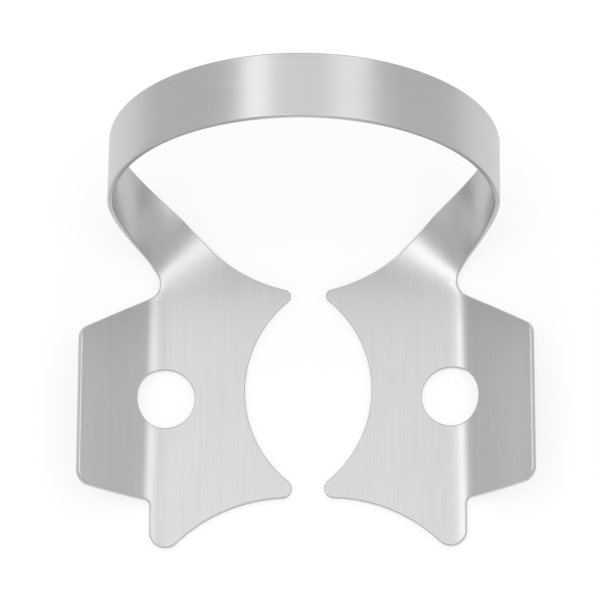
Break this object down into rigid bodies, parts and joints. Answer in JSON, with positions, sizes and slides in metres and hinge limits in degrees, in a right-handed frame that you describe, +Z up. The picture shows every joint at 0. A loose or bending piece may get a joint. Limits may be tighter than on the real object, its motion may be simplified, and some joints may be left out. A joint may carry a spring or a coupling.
{
  "type": "rubber dam clamp",
  "caption": "Winged molar clamp of brushed spring steel sheet: mirrored jaws with forceps holes, upturned wings and a round bow that leans back over the tooth.",
  "frame": {"origin": "middle of the clamp's box in X and Y, on the plane that its jaws lie on", "axes": "+X across the jaws, +Y from the front tabs back to the bow, +Z up to the top of the bow"},
  "size_m": [0.027, 0.0254, 0.0173],
  "materials": {
    "spring_steel": "fine brushed stainless spring steel"
  },
  "bodies": {
    "root": {"clamp": "spring_steel"}
  },
  "joints": []
}
